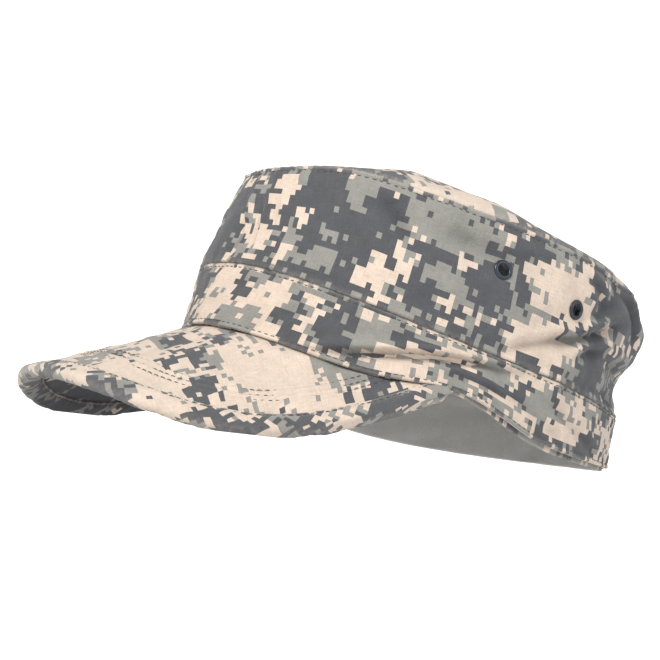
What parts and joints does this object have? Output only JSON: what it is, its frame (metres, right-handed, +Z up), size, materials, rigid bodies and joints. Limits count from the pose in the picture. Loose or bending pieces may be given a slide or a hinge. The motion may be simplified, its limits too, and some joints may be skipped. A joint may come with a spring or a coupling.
{
  "type": "military cap",
  "caption": "Soft cloth cap with a banded crown, a domed top panel, vent eyelets and a drooping bound peak, resting on its peak and rear rim.",
  "frame": {"origin": "under the middle of the cap's box, on the surface that the cap rests on", "axes": "+Z up, -Y towards the peak, +X towards the wearer's left"},
  "size_m": [0.172, 0.2878, 0.119],
  "materials": {
    "camouflage_cloth": "matt cotton twill printed in a pixelled camouflage of sand, grey-green and slate",
    "peak_cloth": "matt cotton twill printed in the same camouflage, over a stiffener",
    "sweatband_cloth": "matt cotton twill",
    "eyelet_metal": "blackened, satin"
  },
  "bodies": {
    "root": {"outer_band": "camouflage_cloth", "inner_band": "sweatband_cloth", "crown_side_left": "camouflage_cloth", "crown_side_right": "camouflage_cloth", "crown_top": "camouflage_cloth", "peak": "peak_cloth", "peak_binding": "peak_cloth", "eyelet_left_front": "eyelet_metal", "eyelet_left_rear": "eyelet_metal", "eyelet_right_front": "eyelet_metal", "eyelet_right_rear": "eyelet_metal"}
  },
  "joints": []
}
